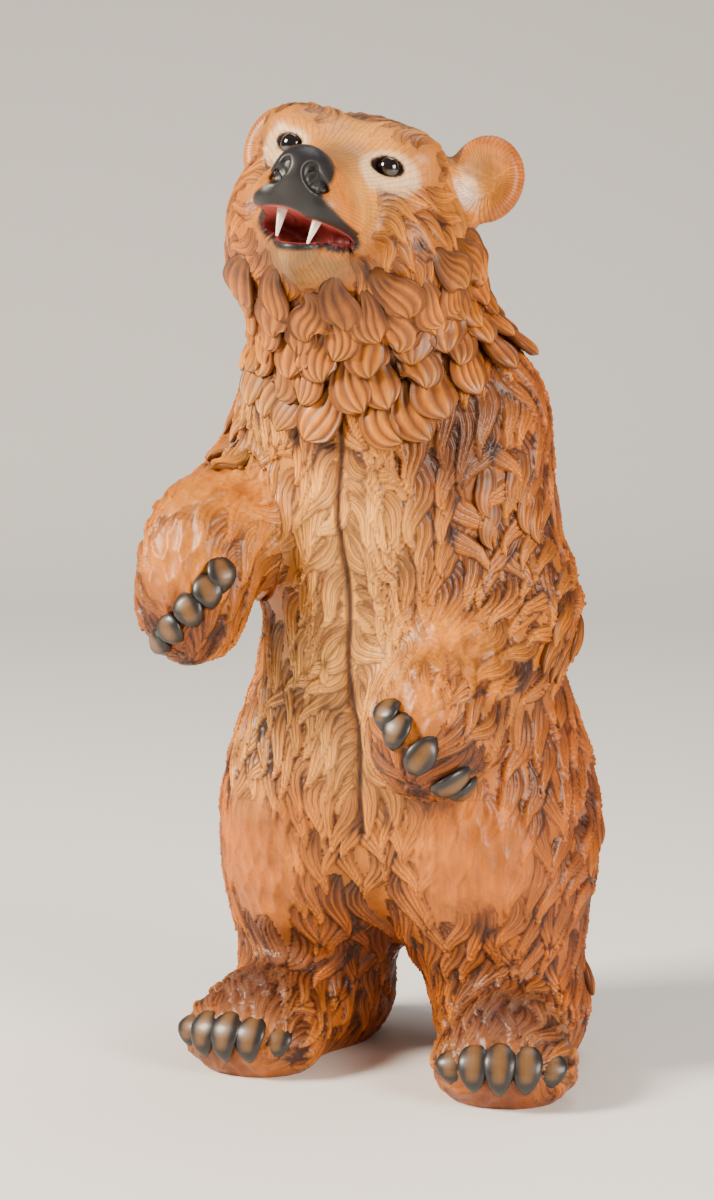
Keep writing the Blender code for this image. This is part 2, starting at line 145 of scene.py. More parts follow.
def clay_lumps():
    lumps = []

    def ball(centre, radii, soft=0.04, axes=UPRIGHT, comb=DOWN):
        lumps.append(Lump("ball", point(*centre), None, point(*radii), axes, soft, comb))

    def rod(start, end, radii, soft, comb=None):
        start, end = point(*start), point(*end)
        if comb is None:
            comb = (end - start) / np.linalg.norm(end - start)
        lumps.append(Lump("rod", start, end, radii, UPRIGHT, soft, comb))

    def head_ball(centre, radii, soft, comb, yaw=0.0):
        axes = HEAD_TURN @ turned(yaw=yaw)
        ball(on_head(*centre), radii, soft, axes, HEAD_TURN @ point(*comb))

    def head_rod(start, end, radii, soft, comb):
        rod(on_head(*start), on_head(*end), radii, soft, HEAD_TURN @ point(*comb))

    # Trunk
    ball((0, 0.03, 0.27), (0.173, 0.15, 0.15))
    ball((0, 0.0, 0.40), (0.155, 0.145, 0.17), 0.08)
    ball((0, -0.03, 0.59), (0.13, 0.125, 0.17), 0.08)
    rod((-0.075, -0.02, 0.68), (0.054, -0.02, 0.680), (0.08, 0.074), 0.06, DOWN)
    rod((-0.012, -0.035, 0.72), (-0.030, -0.072, 0.85), (0.106, 0.111), 0.06, DOWN)

    # Hind legs
    for side in (1, -1):
        toes = TOES[side]
        ankle = ANKLE[side]
        inner = 0.004 if side == 1 else 0.0
        ball((side * 0.097 - inner, -0.005, 0.24), (0.098, 0.125, 0.15), 0.05)
        rod((side * 0.102 - inner, 0.0, 0.20), ankle, (0.085, 0.079), 0.04, DOWN)
        sole_start = ankle + point(0.0, 0.025, -0.01)
        sole_end = toes + point(-side * 0.01, 0.03, 0.009)
        rod(sole_start, sole_end, (0.06, 0.06), 0.03)
        ball(toes, TOE_RADII, 0.03, turned(yaw=toe_yaw(side)), (ankle - toes) * -4)

    # Left arm: bent, the paw resting against the belly
    rod((0.070, -0.01, 0.665), (0.104, 0.0, 0.485), (0.073, 0.066), 0.05)
    rod((0.104, -0.01, 0.478), (0.096, -0.13, 0.405), (0.072, 0.062), 0.04)
    ball((0.090, -0.165, 0.370), (0.060, 0.050, 0.056), 0.04, comb=(-0.3, -0.6, -0.7))

    # Right arm: held out in front
    rod((-0.092, -0.02, 0.665), (-0.150, -0.01, 0.568), (0.075, 0.070), 0.05)
    rod((-0.150, -0.02, 0.568), (-0.152, -0.15, 0.560), (0.072, 0.064), 0.04)
    ball((-0.156, -0.188, 0.504), (0.058, 0.050, 0.069), 0.04, comb=(0.2, -0.5, -0.8))

    # Head, in its own axes
    back = (0.0, 0.9, 0.3)
    head_ball((0, 0.005, 0), (0.108, 0.108, 0.090), 0.05, back)
    for side in (1, -1):
        sideways = (side * 0.6, 0.7, -0.4)
        head_ball((side * 0.052, -0.058, 0.054), (0.044, 0.040, 0.032), 0.025, back)
        width = 0.066 if side == 1 else 0.058
        head_ball((side * width, -0.040, -0.034), (width - 0.015, 0.062, 0.054), 0.04, sideways)
        head_ball((side * 0.026, -0.142, -0.024), (0.027, 0.050, 0.020), 0.02, sideways)
        head_ball(EAR[side], (0.038, 0.018, 0.044), 0.014, back, side * 22)
    head_rod((0, -0.060, 0.000), (0, -0.155, -0.006), (0.060, 0.036), 0.03, back)
    head_ball((0, -0.186, 0.002), (0.0275, 0.026, 0.027), 0.014, back)
    head_rod((0, -0.040, -0.060), (0, -0.134, -0.067), (0.052, 0.0195), 0.03, (0, 0.6, -0.8))
    return lumps


def clay_hollows():
    hollows = []

    def head_hollow(centre, radii, soft, yaw=0.0):
        axes = HEAD_TURN @ turned(yaw=yaw)
        hollows.append(Lump("ball", on_head(*centre), None, point(*radii), axes, soft, DOWN))

    for centre, radii in MOUTH:
        head_hollow(centre, radii, 0.006)
    for side in (1, -1):
        hollow = EAR[side] + EAR_HOLLOW * point(side, 1, 1)
        head_hollow(hollow, (0.028, 0.020, 0.032), 0.012, side * 22)
        # Each nostril is a round hole that runs out into a slit
        head_hollow((side * 0.0130, -0.209, 0.002), (0.0062, 0.014, 0.0090), 0.003)
        head_hollow((side * 0.0175, -0.203, -0.005), (0.0072, 0.016, 0.0068), 0.004)
        head_hollow((side * 0.0230, -0.196, -0.0095), (0.0080, 0.015, 0.0050), 0.004)
        # The socket of the eye
        head_hollow((side * 0.0525, -0.102, 0.0385), (0.0150, 0.013, 0.0092), 0.004, side * 28)
    return hollows


def distance_to(lump, places):
    """Signed distance from each place to one lump, negative inside it."""
    if lump.shape == "ball":
        local = (places - lump.start) @ lump.axes
        near = lengths(local / lump.radii)
        steep = lengths(local / np.square(lump.radii))
        return near * (near - 1) / np.maximum(steep, 1e-9)
    along = lump.end - lump.start
    part = clamp(((places - lump.start) @ along) / along.dot(along))
    gap = places - lump.start - part[:, None] * along
    return lengths(gap) - (lump.radii[0] + part * (lump.radii[1] - lump.radii[0]))


def blend(first, second, soft):
    """Union of two distance fields with a fillet of the given width."""
    near = np.maximum(soft - np.abs(first - second), 0) / soft
    return np.minimum(first, second) - near * near * soft / 4


def beside(lump, places):
    """Which places are near enough to a lump to feel it."""
    middle = lump.start if lump.end is None else (lump.start + lump.end) / 2
    half = 0 if lump.end is None else np.linalg.norm(lump.end - lump.start) / 2
    reach = half + max(lump.radii) + FEEL
    return np.flatnonzero(np.square(places - middle).sum(1) < reach * reach)


def figure(places):
    """Signed distance from the finished clay form."""
    field = np.ones(len(places))
    for lump in LUMPS:
        near = beside(lump, places)
        field[near] = blend(field[near], distance_to(lump, places[near]), lump.soft)
    for hollow in HOLLOWS:
        near = beside(hollow, places)
        field[near] = -blend(-field[near], distance_to(hollow, places[near]), hollow.soft)
    return -blend(-field, places[:, 2], 0.004)


LUMPS = clay_lumps()
HOLLOWS = clay_hollows()


def slope(places):
    """Gradient of the clay form at each place."""
    out = np.empty_like(places)
    for axis in range(3):
        ahead, behind = places.copy(), places.copy()
        ahead[:, axis] += PROBE
        behind[:, axis] -= PROBE
        out[:, axis] = (figure(ahead) - figure(behind)) / (2 * PROBE)
    return out


def settled(places, times):
    """Places moved onto the surface of the clay form."""
    for _ in range(times):
        gradient = slope(places)
        steep = np.maximum((gradient**2).sum(1), 0.05)
        step = np.clip(figure(places) / steep, -0.01, 0.01)
        places = places - step[:, None] * gradient
    return places


# Mesh helpers

def vectors(data, name):
    """A vector of each element of mesh data, in rows."""
    flat = np.empty(len(data) * 3, np.float32)
    data.foreach_get(name, flat)
    return flat.reshape(-1, 3)


def places_of(mesh):
    return vectors(mesh.vertices, "co").astype(float)


def normals_of(mesh):
    return vectors(mesh.vertex_normals, "vector").astype(float)


def move_to(mesh, places):
    mesh.vertices.foreach_set("co", places.astype(np.float32).ravel())
    mesh.update()


def mesh_from(shaper, name):
    """The mesh that a shaper holds, after which the shaper is let go."""
    mesh = bpy.data.meshes.new(name)
    shaper.to_mesh(mesh)
    shaper.free()
    return mesh


def thing_from(name, data):
    """A new object in the scene."""
    thing = bpy.data.objects.new(name, data)
    bpy.context.scene.collection.objects.link(thing)
    return thing


def modified(mesh, name, kind, **settings):
    """The mesh after one modifier."""
    holder = thing_from(name, mesh)
    modifier = holder.modifiers.new(name, kind)
    for key, value in settings.items():
        setattr(modifier, key, value)
    graph = bpy.context.evaluated_depsgraph_get()
    out = bpy.data.meshes.new_from_object(holder.evaluated_get(graph))
    bpy.data.objects.remove(holder)
    return out


def clay_mesh():
    """The lumps as balls, welded into one skin, with the mouth's hollows cut out of it."""
    shaper = bmesh.new()
    bmesh.ops.create_uvsphere(shaper, u_segments=24, v_segments=16, radius=1)
    unit = mesh_from(shaper, "unit ball")
    shaper = bmesh.new()

    def add_ball(centre, radii, axes):
        placed = unit.copy()
        turn = Matrix(axes.tolist()).to_4x4()
        placed.transform(Matrix.Translation(Vector(centre)) @ turn @ Matrix.Diagonal((*radii, 1)))
        shaper.from_mesh(placed)
        bpy.data.meshes.remove(placed)

    for lump in LUMPS:
        if lump.shape == "ball":
            add_ball(lump.start, lump.radii, lump.axes)
            continue
        for part in np.linspace(0, 1, 7):
            radius = lump.radii[0] + part * (lump.radii[1] - lump.radii[0])
            add_ball(lump.start + part * (lump.end - lump.start), (radius,) * 3, UPRIGHT)
    mesh = modified(mesh_from(shaper, "clay"), "weld", "REMESH", mode="VOXEL", voxel_size=CLAY_STEP)
    turn = Matrix(HEAD_TURN.tolist()).to_4x4()
    for centre, radii in MOUTH:
        hollow = unit.copy()
        size = Matrix.Diagonal((*(radii * 0.94), 1))
        hollow.transform(Matrix.Translation(Vector(on_head(*centre))) @ turn @ size)
        cutter = thing_from("mouth", hollow)
        mesh = modified(mesh, "cut", "BOOLEAN", operation="DIFFERENCE", solver="EXACT", object=cutter)
        bpy.data.objects.remove(cutter)
    return mesh


def cut_at(mesh, level, facing):
    """The part of a mesh on the side that a plane faces, with the cut closed."""
    shaper = bmesh.new()
    shaper.from_mesh(mesh)
    everything = shaper.verts[:] + shaper.edges[:] + shaper.faces[:]
    cut = bmesh.ops.bisect_plane(
        shaper, geom=everything, plane_co=Vector(level), plane_no=Vector(facing), clear_inner=True)
    rim = [item for item in cut["geom_cut"] if isinstance(item, bmesh.types.BMEdge)]
    filled = bmesh.ops.holes_fill(shaper, edges=rim, sides=0)
    bmesh.ops.triangulate(shaper, faces=filled["faces"], ngon_method="EAR_CLIP")
    return mesh_from(shaper, "part")


def skin(clay, step, level, facing):
    """A fine skin of one side of the clay form."""
    level, facing = point(*level), point(*facing)
    mesh = cut_at(clay, level - 0.02 * facing, facing)
    mesh = modified(mesh, "refine", "REMESH", mode="VOXEL", voxel_size=step)
    places = places_of(mesh)
    free = (places - level) @ facing > -0.012
    places[free] = settled(places[free], 3)
    move_to(mesh, places)
    mesh = cut_at(mesh, level, facing)
    mesh = modified(mesh, "divide", "SUBSURF", levels=1, render_levels=1)
    places, normals = places_of(mesh), normals_of(mesh)
    free = np.abs((places - level) @ facing) > 0.004
    field = figure(places)
    rate = (figure(places + PROBE * normals) - field) / PROBE
    places -= np.where(free, np.clip(field / np.maximum(rate, 0.4), -0.003, 0.003), 0)[:, None] * normals
    move_to(mesh, places)
    return mesh


# Fur: locks follow the comb of the nearest lumps, with a sway to and fro

def comb_at(places, normals):
    """The way the hair lies at each place, along the surface."""
    total = np.zeros_like(places)
    for lump in LUMPS:
        weight = np.exp(-np.maximum(distance_to(lump, places), 0) / 0.02)
        total += weight[:, None] * lump.comb
    # On chest and belly the locks run down and outward from the parting
    middle = np.exp(-np.square(places[:, 0] / 0.10)) * (places[:, 1] < -0.05)
    middle *= clamp((0.74 - places[:, 2]) / 0.05) * clamp((places[:, 2] - 0.26) / 0.05)
    total[:, 0] += 0.95 * middle * np.tanh((places[:, 0] - parting_at(places[:, 2])) / 0.010)
    return unit_rows(total - (total * normals).sum(1)[:, None] * normals)


def parting_at(height):
    """How far to the side the parting of the chest lies at a height."""
    fall = clamp((0.72 - height) / 0.45)
    return -0.016 + 0.024 * fall + 0.003 * np.sin(40 * height)


def normals_at(places):
    return unit_rows(slope(places))


def combed_paths(roots, length, sway, steps, turns=1.0):
    """Paths along the surface from each root, with the surface normal at each stop."""
    stops, normals = [roots], [normals_at(roots)]
    for step in range(steps):
        place, normal = stops[-1], normals[-1]
        ahead = comb_at(place, normal)
        swing = np.reshape(sway * math.cos(2 * math.pi * turns * (step + 0.5) / steps), (-1, 1))
        ahead = ahead * np.cos(swing) + np.cross(normal, ahead) * np.sin(swing)
        stops.append(settled(place + ahead * np.reshape(length, (-1, 1)) / steps, 1))
        normals.append(normals_at(stops[-1]))
    return np.stack(stops, 1), np.stack(normals, 1)


class Neighbours:
    """Finds the places round a point by cells."""

    def __init__(self, places, cell=0.03):
        self.cell = cell
        keys = self.key(np.floor(places / cell).astype(int))
        self.order = np.argsort(keys, kind="stable")
        self.keys = keys[self.order]

    def key(self, cells):
        return (cells[..., 0] + 64) * 65536 + (cells[..., 1] + 64) * 256 + cells[..., 2] + 64

    def round(self, place, reach):
        low = np.floor((place - reach) / self.cell).astype(int)
        high = np.floor((place + reach) / self.cell).astype(int)
        found = []
        for x in range(low[0], high[0] + 1):
            for y in range(low[1], high[1] + 1):
                keys = self.key(np.array([[x, y, low[2]], [x, y, high[2] + 1]]))
                first, last = np.searchsorted(self.keys, keys)
                found.append(self.order[first:last])
        return np.concatenate(found)


def spread_roots(places, pitch_of, chance, stretch=1.0):
    """Places picked so that no two are nearer than the pitch there, which is stretched along the hair."""
    picked = places[chance.permutation(len(places))[:ROOT_TRIES]]
    pitches = pitch_of(picked)
    ways = comb_at(picked, normals_at(picked)) if stretch > 1 else np.zeros_like(picked)
    kept, cells = [], {}
    for place, pitch, way in zip(picked, pitches, ways):
        cell = tuple(np.floor(place / ROOT_CELL).astype(int))
        near = [item for x in (-1, 0, 1) for y in (-1, 0, 1) for z in (-1, 0, 1)
                for item in cells.get((cell[0] + x, cell[1] + y, cell[2] + z), ())]
        if near:
            gap = np.array(near) - place
            gap -= (gap @ way * (1 - 1 / stretch))[:, None] * way
            if np.square(gap).sum(1).min() < pitch * pitch:
                continue
        kept.append(place)
        cells.setdefault(cell, []).append(place)
    return np.array(kept).reshape(-1, 3)


def zone(places, spots):
    """One inside any of some soft balls, each a centre and a size."""
    out = np.zeros(len(places))
    for centre, size in spots:
        out = np.maximum(out, clamp(1.5 - lengths(places - point(*centre)) / size))
    return out


# Where the gouge left broad facets instead of locks
FACETS = (
    ((-0.150, -0.150, 0.590), 0.060), ((-0.156, -0.215, 0.540), 0.045), ((0.100, -0.120, 0.440), 0.050),
    ((0.090, -0.190, 0.400), 0.035), ((0.118, -0.110, 0.245), 0.060), ((-0.120, -0.110, 0.225), 0.060),
    ((0.168, -0.172, 0.035), 0.045), ((-0.127, -0.172, 0.035), 0.045),
)
# Where the locks lie flat and long, with shallow strands
CALM = (
    ((-0.010, -0.150, 0.580), 0.090), ((0.000, -0.150, 0.450), 0.090), ((0.000, -0.150, 0.330), 0.070),
)
# Where the curls are cut deepest
CURLS = (
    ((0.110, -0.100, 0.650), 0.060), ((0.070, -0.130, 0.680), 0.050), ((0.165, 0.000, 0.470), 0.060),
    ((0.185, 0.020, 0.260), 0.060), ((-0.190, 0.020, 0.270), 0.060),
)


def on_face(places):
    """Places in the head's own axes."""
    return (places - HEAD) @ HEAD_TURN


def bare_face(places):
    """One on the muzzle, round the eyes and between the brows, where no locks are cut."""
    local = on_face(places)
    muzzle = clamp((-0.104 + 0.006 * (local[:, 2] < -0.035) - local[:, 1]) / 0.02)
    eyes = np.zeros(len(places))
    for side in (1, -1):
        away = lengths((local - EYE * point(side, 1, 1)) / (0.030, 0.05, 0.021))
        eyes = np.maximum(eyes, clamp(2.2 - 1.5 * away))
    brow = lengths((local - (0, -0.085, 0.060)) / (0.022, 0.045, 0.026))
    return np.maximum(np.maximum(muzzle, eyes), clamp(1.8 - 1.2 * brow))


def lock_pitch(places):
    """How far apart the roots of the locks are."""
    high = on_face(places)[:, 1] > -0.15
    head = (places[:, 2] > 0.80) & high & (lengths(places - HEAD) < 0.16)
    pitch = 0.0150 + 0.004 * zone(places, CURLS)
    pitch = np.where(places[:, 2] < 0.13, 0.0125, pitch)
    return np.where(head, 0.0100, pitch)


def carve(mesh, seed):
    """Cuts locks, strands and facets into a skin. Returns layers for the finish, among them painted shade in
    the hollows and painted highlight on the ridges, and the places before.
    """
    places, normals = places_of(mesh), normals_of(mesh)
    chance = np.random.default_rng(seed)
    find = Neighbours(places)
    roots = spread_roots(places[places[:, 2] > 0.012], lock_pitch, chance, ROOT_STRETCH)
    if places[:, 2].min() < 0.3:
        # A row of locks starts from the parting on each side
        heights = np.arange(0.29, 0.72, 0.016)
        for side in (1, -1):
            beside_parting = parting_at(heights) + side * 0.007
            row = np.stack([beside_parting, np.full(len(heights), -0.16), heights], 1)
            roots = np.concatenate([roots, settled(row, 6)])
    pitch = lock_pitch(roots)
    smooth = zone(roots, FACETS)
    keep = (smooth < 0.75) & (bare_face(roots) < 0.6)
    roots, pitch = roots[keep], pitch[keep]
    deep = zone(roots, CURLS)
    length = pitch * (5.6 + 0.6 * deep) * chance.uniform(0.85, 1.2, len(roots))
    side = np.sign(roots[:, 0] - parting_at(roots[:, 2]))
    side = np.where(side == 0, 1, side)
    sway = side * chance.uniform(0.35, 0.9, len(roots)) * (1 + 0.7 * deep)
    sway = np.where(chance.random(len(roots)) < 0.25, -sway, sway)
    steps = 8
    paths, path_normals = combed_paths(roots, length, sway, steps, 0.8)
    half_width = pitch * 0.95 * chance.uniform(0.85, 1.15, len(roots))
    strands = np.maximum(2, np.round(2 * half_width / share(STRAND_WIDTH))).astype(int)
    tone = chance.uniform(-1, 1, len(roots))

    rank = np.full(len(places), -1.0)
    beneath = np.full(len(places), -1.0)
    strand = np.zeros(len(places))
    groove = np.zeros(len(places))
    lock_tone = np.zeros(len(places))
    for item, path in enumerate(paths):
        reach = 0.55 * length[item] + half_width[item]
        near = find.round(path[steps // 2], reach)
        near = near[np.square(places[near] - path[steps // 2]).sum(1) < reach * reach]
        near = near[(normals[near] * path_normals[item, steps // 2]).sum(1) > 0.1]
        if len(near) == 0:
            continue
        starts, ends = path[:-1], path[1:]
        along = ends - starts
        gap = places[near, None] - starts[None]
        part = clamp((gap * along).sum(2) / (along**2).sum(1))
        away = gap - part[..., None] * along
        off = np.square(away).sum(2)
        best = np.argmin(off, axis=1)
        pick = np.arange(len(near))
        run = (best + part[pick, best]) / steps
        across = unit_rows(np.cross(along, path_normals[item, 1:]), 1e-9)
        aside = (away[pick, best] * across[best]).sum(1)
        aside = np.sign(aside) * np.sqrt(off[pick, best])
        width = half_width[item] * np.sqrt(np.clip(run / 0.25, 0.04, 1))
        width *= clamp((1.0 - run) / 0.60) ** 0.75
        share_across = aside / np.maximum(width, 1e-6)
        inside = (np.abs(share_across) < 1) & (run > 0) & (run < 0.999)
        crown = np.sqrt(clamp(1 - share_across**2))
        rise = (0.40 + 0.60 * clamp(run / 0.80)) * crown**0.55
        better = inside & (rise > rank[near])
        lower = inside & ~better
        beneath[near[lower]] = np.maximum(beneath[near[lower]], rise[lower])
        chosen = near[better]
        beneath[chosen] = rank[chosen]
        phase = (share_across[better] + 1) / 2 * strands[item]
        valley = 1 - np.square(2 * (phase - np.floor(phase)) - 1)
        edge = clamp(1.2 - np.abs(share_across[better]))
        rank[chosen] = rise[better]
        groove[chosen] = valley * edge
        strand[chosen] = 2 * phase
        lock_tone[chosen] = tone[item]
    # Painted shade: a dark crease wherever one lock meets another
    crease_shade = np.where(beneath > 0, np.exp(-(rank - beneath) / 0.07), 0)
    rank = np.maximum(rank, 0)

    # Scoops of a broad gouge, each a shallow bowl with a ridge to the next
    scoop = np.zeros(len(places))
    seeds = spread_roots(places[zone(places, FACETS) > 0.1], lambda spots: np.full(len(spots), 0.017), chance)
    seed_normals = normals_at(seeds)
    seed_combs = comb_at(seeds, seed_normals)
    for place, normal, ahead in zip(seeds, seed_normals, seed_combs):
        near = find.round(place, 0.045)
        gap = places[near] - place
        across = np.cross(normal, ahead)
        apart = (gap @ ahead / 0.026) ** 2 + (gap @ across / 0.0125) ** 2 + (gap @ normal / 0.03) ** 2
        scoop[near] = np.minimum(scoop[near], np.minimum(apart - 1, 0))

    local = on_face(places)
    face = bare_face(places)
    head = clamp((0.17 - lengths(local)) / 0.02)
    facet = zone(places, FACETS) * (1 - head)
    low = clamp(places[:, 2] / 0.05)
    calm = zone(places, CALM)
    depth = (0.0100 - 0.0025 * calm) + 0.0060 * zone(places, CURLS) - 0.0052 * head
    from_ear = np.minimum(*(lengths((local - EAR[side]) / 0.065) for side in (1, -1)))
    ears = clamp(1.6 - from_ear)
    depth *= (1 - facet * 0.85) * (1 - face) * (0.35 + 0.65 * low) * (1 - 0.9 * ears)
    cut = 0.26 - 0.04 * head
    locked = rank > 0
    moves = depth * np.where(locked, rank - 0.5, -0.12) - depth * cut * groove * locked
    moves += 0.0062 * facet * (scoop + 0.5) * (1 - face)
    parting = np.exp(-np.square((places[:, 0] - parting_at(places[:, 2])) / 0.0045))
    parting *= (places[:, 1] < -0.08) & (places[:, 2] > 0.26) & (places[:, 2] < 0.74)
    moves -= 0.0040 * parting
    moves *= clamp(places[:, 2] / 0.012)
    move_to(mesh, places + normals * moves[:, None])
    # Painted shade, with the stain that pools there: darker low between the locks, in the creases and
    # grooves, along the chest's parting and between the gouge's scoops
    dark = clamp(0.95 * (1 - rank) + 0.75 * crease_shade + 0.30 * groove**2) * (1 - 0.25 * head)
    recess_stain_and_shade = np.where(locked, dark, 0.25) * (1 - facet) * (1 - face) * (1 - 0.7 * ears)
    recess_stain_and_shade = np.maximum(recess_stain_and_shade * (1 - 0.50 * calm), 0.75 * parting)
    recess_stain_and_shade = np.maximum(recess_stain_and_shade, clamp(scoop + 0.45) * 0.85 * facet)
    # Painted highlight, with the wear: lighter along the crown of each lock
    ridge_wear_and_highlight = clamp((rank - 0.55) / 0.38) * (1 - groove) * (1 - face) * (1 - facet)
    # Fine hair lines: along the locks, back from the nose, aslant over the facets, outward on the ears
    bare = face > 0.3
    strand[bare] = 15.0 * np.arctan2(local[bare, 0], local[bare, 2] + 0.02)
    smooth = (facet > 0.5) & ~bare
    strand[smooth] = (places[smooth] @ point(0.45, 0.2, 0.85)) / 0.0048
    fine = np.where(locked, 1.0, 0.0)
    fine[smooth] = 0.16
    fine[bare] = 0.55
    for side in (1, -1):
        ear = (local - EAR[side]) / 0.050
        hairy = lengths(ear) < 1
        strand[hairy] = 9.0 * np.arctan2(ear[hairy, 2], ear[hairy, 0])
        fine[hairy] = 0.8
    tone = lock_tone * (1 - face)
    return {"recess_stain_and_shade": recess_stain_and_shade, "ridge_wear_and_highlight": ridge_wear_and_highlight, "tone": tone, "strand": strand, "fine": fine}, places


# Stains and paints, laid on by hand in soft patches, with some painted highlight and shade

def linear(code):
    """A colour written in sRGB hex as linear red, green, blue and alpha."""
    parts = [int(code[k:k + 2], 16) / 255 for k in (1, 3, 5)]
    return (*[p / 12.92 if p <= 0.04045 else ((p + 0.055) / 1.055) ** 2.4 for p in parts], 1.0)


PALE_TAN = "#F2AE50"
HONEY = "#D07E18"
AMBER = "#BA6210"
RED_BROWN = "#75340F"
DARK_WAX_AND_SHADE = "#2E1408"
GREY_BROWN = "#4E3D32"
UMBER = "#4A2712"
CREAM = "#F2C998"
CHALK_HIGHLIGHT = "#EDE6DC"
CHARCOAL = "#19181A"
OLIVE_BROWN = "#8A6A3E"
MOUTH_RED = "#B5504B"
MOUTH_SHADE = "#5E1F1E"
CLAW_BLACK = "#191615"
CLAW_GOLD = "#7E5628"
SEPIA = "#2B1A12"

# Each patch is a colour, a centre, a size and a strength
BODY_PATCHES = (
    (AMBER, (-0.150, -0.080, 0.580), 0.110, 0.9), (HONEY, (0.110, -0.060, 0.480), 0.120, 0.7),
    (AMBER, (0.130, -0.060, 0.230), 0.140, 0.9), (AMBER, (-0.130, -0.060, 0.230), 0.140, 0.9),
    (HONEY, (0.000, -0.120, 0.660), 0.110, 0.8), (PALE_TAN, (-0.010, -0.150, 0.570), 0.085, 0.9),
    (PALE_TAN, (-0.010, -0.150, 0.450), 0.080, 0.9), (PALE_TAN, (0.000, -0.150, 0.340), 0.070, 0.8),
    (HONEY, (0.000, -0.130, 0.250), 0.070, 0.8),
    # Painted highlight: the two pale patches on the right hip and the right of the belly, on the side the key
    # light falls on
    (PALE_TAN, (-0.130, -0.120, 0.340), 0.065, 0.7), (PALE_TAN, (-0.090, -0.140, 0.420), 0.060, 0.6),
    (PALE_TAN, (-0.120, -0.120, 0.670), 0.060, 0.7), (HONEY, (-0.150, -0.190, 0.600), 0.050, 0.6),
    # Painted shade: the umber patch on the left shoulder, under the ruff
    (UMBER, (0.085, -0.105, 0.650), 0.055, 0.8), (RED_BROWN, (0.180, 0.040, 0.450), 0.080, 0.35),
    (RED_BROWN, (0.190, 0.060, 0.260), 0.080, 0.35), (RED_BROWN, (0.170, 0.060, 0.120), 0.070, 0.7),
    (RED_BROWN, (-0.180, 0.060, 0.150), 0.080, 0.6), (RED_BROWN, (0.000, 0.150, 0.350), 0.160, 0.5),
    # Painted shade: the red-brown patch between the legs
    (RED_BROWN, (0.000, -0.050, 0.120), 0.070, 0.9),
    (GREY_BROWN, (0.155, -0.130, 0.085), 0.066, 1.0), (GREY_BROWN, (-0.118, -0.130, 0.085), 0.064, 0.95),
    (RED_BROWN, (0.175, -0.175, 0.012), 0.070, 0.9), (RED_BROWN, (-0.130, -0.175, 0.012), 0.070, 0.8),
    (RED_BROWN, (-0.160, -0.215, 0.478), 0.052, 0.9), (RED_BROWN, (0.100, -0.190, 0.352), 0.050, 0.8),
)


def laid_on(colours, *coats):
    """Colours with more stains over them, each given by its colour and its weight at each place."""
    for code, weight in coats:
        weight = clamp(weight)[:, None]
        colours = colours * (1 - weight) + np.array(linear(code)[:3]) * weight
    return colours


def plain(code, count):
    """One colour at each of so many vertices."""
    return np.tile(np.array(linear(code)[:3]), (count, 1))


def soft_spot(places, centre, radii, edge):
    """One inside an ellipsoid, falling to nothing over a soft edge given as a share of it."""
    away = lengths((places - point(*centre)) / radii)
    return clamp((1 - away) / edge + 0.5)


def stained(places):
    """The stain at each place of the body, with some patches of painted highlight and shade, before the
    painted shade and wax of the hollows and the painted highlight and wear of the ridges.
    """
    colours = plain(AMBER, len(places))
    colours = laid_on(colours, (HONEY, np.clip((-places[:, 1] - 0.02) / 0.1, 0, 0.6)))
    for code, centre, size, strength in BODY_PATCHES:
        away = lengths(places - point(*centre)) / size
        colours = laid_on(colours, (code, strength * clamp(1.25 - away) ** 0.8))
    nape = clamp((places[:, 1] + 0.02) / 0.10) * clamp((places[:, 2] - 0.70) / 0.1)
    return laid_on(colours, (GREY_BROWN, 0.55 * nape))


